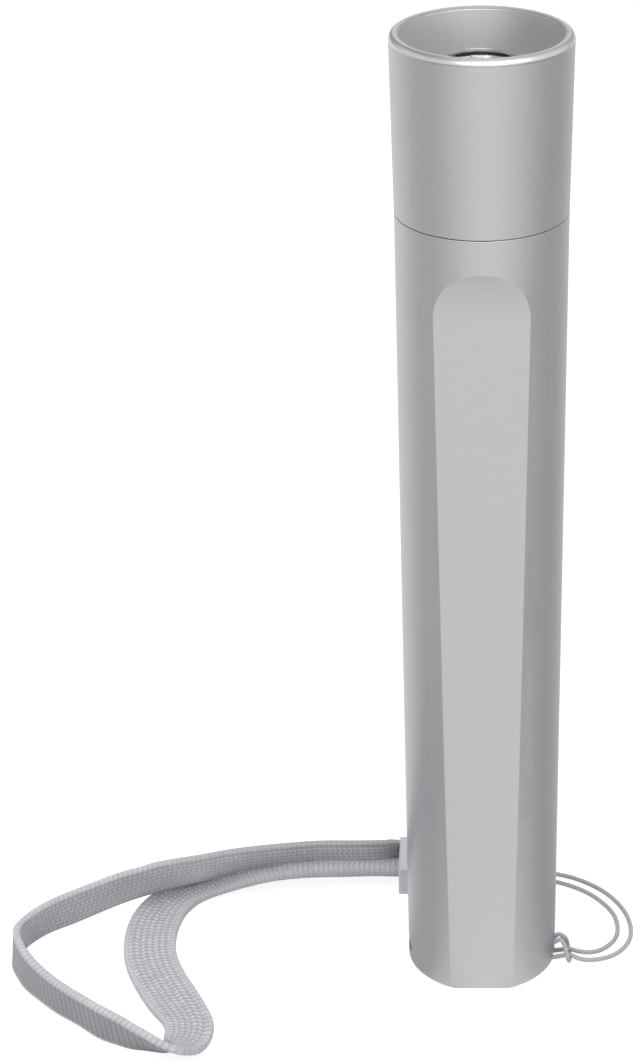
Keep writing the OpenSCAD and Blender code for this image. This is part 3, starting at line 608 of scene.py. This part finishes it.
def neck_thread():
    """Fine right-hand thread above the seal, seen when the head is unscrewed."""
    section = [(-0.5, THREAD_ROOT), (-0.12, THREAD_CREST), (0.12, THREAD_CREST), (0.5, THREAD_ROOT)]
    last = THREAD_TURNS * THREAD_POINTS
    rings = []
    for i in range(last + 1):
        a = 2 * math.pi * i / THREAD_POINTS
        fade = min(1.0, i / THREAD_FADE, (last - i) / THREAD_FADE)
        radii = [THREAD_ROOT + (r - THREAD_ROOT) * fade for _, r in section]
        heights = [THREAD_LOW + THREAD_PITCH * (i / THREAD_POINTS + share) for share, _ in section]
        rings.append([(r * math.cos(a), r * math.sin(a), z) for r, z in zip(radii, heights)])
    rings = np.array(rings)
    return skin("neck_thread", rings, np.ones(rings.shape[:2]), BLASTED)


thread = neck_thread()
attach(thread, "torch_body")


# Land on the rim of the head
RIM_TOP = 169.2
RIM_CREST = 13.55            # radius of the rim's highest line
RIM_OUT, RIM_UP = 0.8, 1.3   # its outer rounding, as in CAD
LAND_OVER = 0.015            # how far the land stands off that rounding
LAND_EDGE = 12.55            # radius of the edge where the bowl begins
LAND_DIP = 0.38              # how far that edge lies below the top
LAND_STEPS = 288             # points round the rim


def rim_land():
    """The flat turned land on the rim, with the crisp edge where the bowl begins."""
    section = [(RIM_CREST + (RIM_OUT + LAND_OVER) * math.cos(math.radians(a)),
                RIM_TOP - RIM_UP + (RIM_UP + LAND_OVER) * math.sin(math.radians(a)))
               for a in range(10, 91, 10)]
    low = RIM_TOP - LAND_DIP
    crisp = (LAND_EDGE - 0.005, low + 0.005)
    section += [(RIM_CREST - 0.45, RIM_TOP - 0.03), (LAND_EDGE + 0.25, low + 0.19),
                (LAND_EDGE + 0.1, low + 0.09)]
    section += [crisp, crisp, (LAND_EDGE + 0.5, low - 0.3)]  # the doubled point keeps the edge sharp
    angles = [2 * math.pi * i / LAND_STEPS for i in range(LAND_STEPS + 1)]
    rings = np.array([[(r * math.cos(a), r * math.sin(a), z) for r, z in section] for a in angles])
    polished = blasted_aluminium("rim_aluminium_detail", 0.74, 0.3, 0.00003)
    return skin("rim_land", rings, np.ones(rings.shape[:2]), polished)


land = rim_land()
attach(land, "twist_head")


# Floor, world and lamps

# What the metal sees round the torch, by bearing in degrees, 0 in front, 90 on the right and 180 behind:
# on the floor, just above the horizon, and higher up
ON_FLOOR = {
    -180: 0.93, -150: 1.08, -120: 0.92, -90: 0.56, -60: 0.54, -30: 0.79, 0: 0.965,
    30: 0.88, 60: 0.64, 90: 0.44, 120: 0.52, 150: 0.84, 180: 0.93}
ABOVE_LOW = {
    -180: 0.78, -160: 0.34, -145: 0.34, -120: 0.75, -60: 0.8, 0: 0.8,
    60: 0.85, 115: 0.85, 140: 0.46, 160: 0.46, 180: 0.78}
ABOVE = {
    -180: 0.75, -160: 0.34, -135: 0.28, -90: 0.34, -45: 0.5, 0: 0.66,
    45: 0.68, 90: 0.6, 135: 0.5, 160: 0.5, 180: 0.75}
OVERHEAD = 0.85                   # what it sees straight up
DULL_LOW, DULL_HIGH = 0.28, 1.05  # light on dull surfaces, from the horizon and from above


def add_floor():
    """Pale floor: white to the camera with a soft shadow left in it, unevenly lit to reflections."""
    mesh = bpy.data.meshes.new("floor")
    reach = 6.0
    corners = [(-reach, -reach, 0), (reach, -reach, 0), (reach, reach, 0), (-reach, reach, 0)]
    mesh.from_pydata(corners, [], [(0, 1, 2, 3)])
    floor = bpy.data.objects.new("floor", mesh)
    scene.collection.objects.link(floor)
    n = Nodes(bpy.data.materials.new("floor_paper"))
    rays = n.add("ShaderNodeLightPath")
    mirrored = rays.outputs["Is Glossy Ray"]
    seen = n.math("MAXIMUM", rays.outputs["Is Camera Ray"],
                  n.math("MAXIMUM", mirrored, rays.outputs["Is Transmission Ray"]))
    paper = n.noise(300.0, 3.0)
    tone = n.ramp(paper, grey(0.88), grey(0.92))
    place = n.add("ShaderNodeTexCoord")
    around = n.by_bearing(place.outputs["Object"], ON_FLOOR)
    shadowed = n.mix(mirrored, grey(0.2), grey(0.0))
    bounce = n.add("ShaderNodeBsdfDiffuse", {"Color": n.mix(seen, tone, shadowed)})
    white = n.mix(mirrored, grey(0.9), around)
    glow = n.add("ShaderNodeEmission", {"Color": white, "Strength": seen})
    both = n.add("ShaderNodeAddShader")
    n.link(bounce.outputs[0], both.inputs[0])
    n.link(glow.outputs[0], both.inputs[1])
    n.link(both.outputs[0], n.tree.nodes["Material Output"].inputs["Surface"])
    n.tree.nodes.remove(n.shader)
    mesh.materials.append(n.owner)


def add_world():
    """White to the camera, brighter upwards to dull surfaces, and tones by bearing to the metal."""
    scene.world = bpy.data.worlds.new("studio")
    n = Nodes(scene.world, "Background")
    way = n.add("ShaderNodeTexCoord").outputs["Generated"]
    height = n.add("ShaderNodeSeparateXYZ", {"Vector": way}).outputs["Z"]
    rays = n.add("ShaderNodeLightPath")
    walls = n.mix(n.rising(height, 0.45, 0.7), n.by_bearing(way, ABOVE_LOW), n.by_bearing(way, ABOVE))
    mirrored = n.mix(n.rising(height, 0.84, 1.0), walls, grey(OVERHEAD))
    dull = n.mix(n.rising(height, 0.0, 0.9), grey(DULL_LOW), grey(DULL_HIGH))
    unseen = n.mix(rays.outputs["Is Glossy Ray"], dull, mirrored)
    n.link(n.mix(rays.outputs["Is Camera Ray"], unseen, grey(1.0)), n.shader.inputs["Color"])
    n.shader.inputs["Strength"].default_value = 1.0


def add_lamp(name, place, target, size, power, shine):
    """Area lamp that lights dull surfaces and is not mirrored, or one that is only mirrored in metal."""
    data = bpy.data.lights.new(name, "AREA")
    data.shape = "RECTANGLE"
    data.size, data.size_y = size
    data.energy = power
    lamp = bpy.data.objects.new(name, data)
    lamp.location = place
    lamp.rotation_euler = (Vector(target) - Vector(place)).to_track_quat("-Z", "Y").to_euler()
    lamp.visible_glossy = shine
    lamp.visible_diffuse = not shine
    scene.collection.objects.link(lamp)


add_floor()
add_world()
add_lamp("front_softbox", (-0.30, -0.45, 1.1), (-0.03, 0, 0.02), (1.0, 0.6), 8.5, False)
add_lamp("rim_strip", (0.27, -0.90, 0.83), (0, 0, 0.165), (1.5, 0.14), 11.0, True)
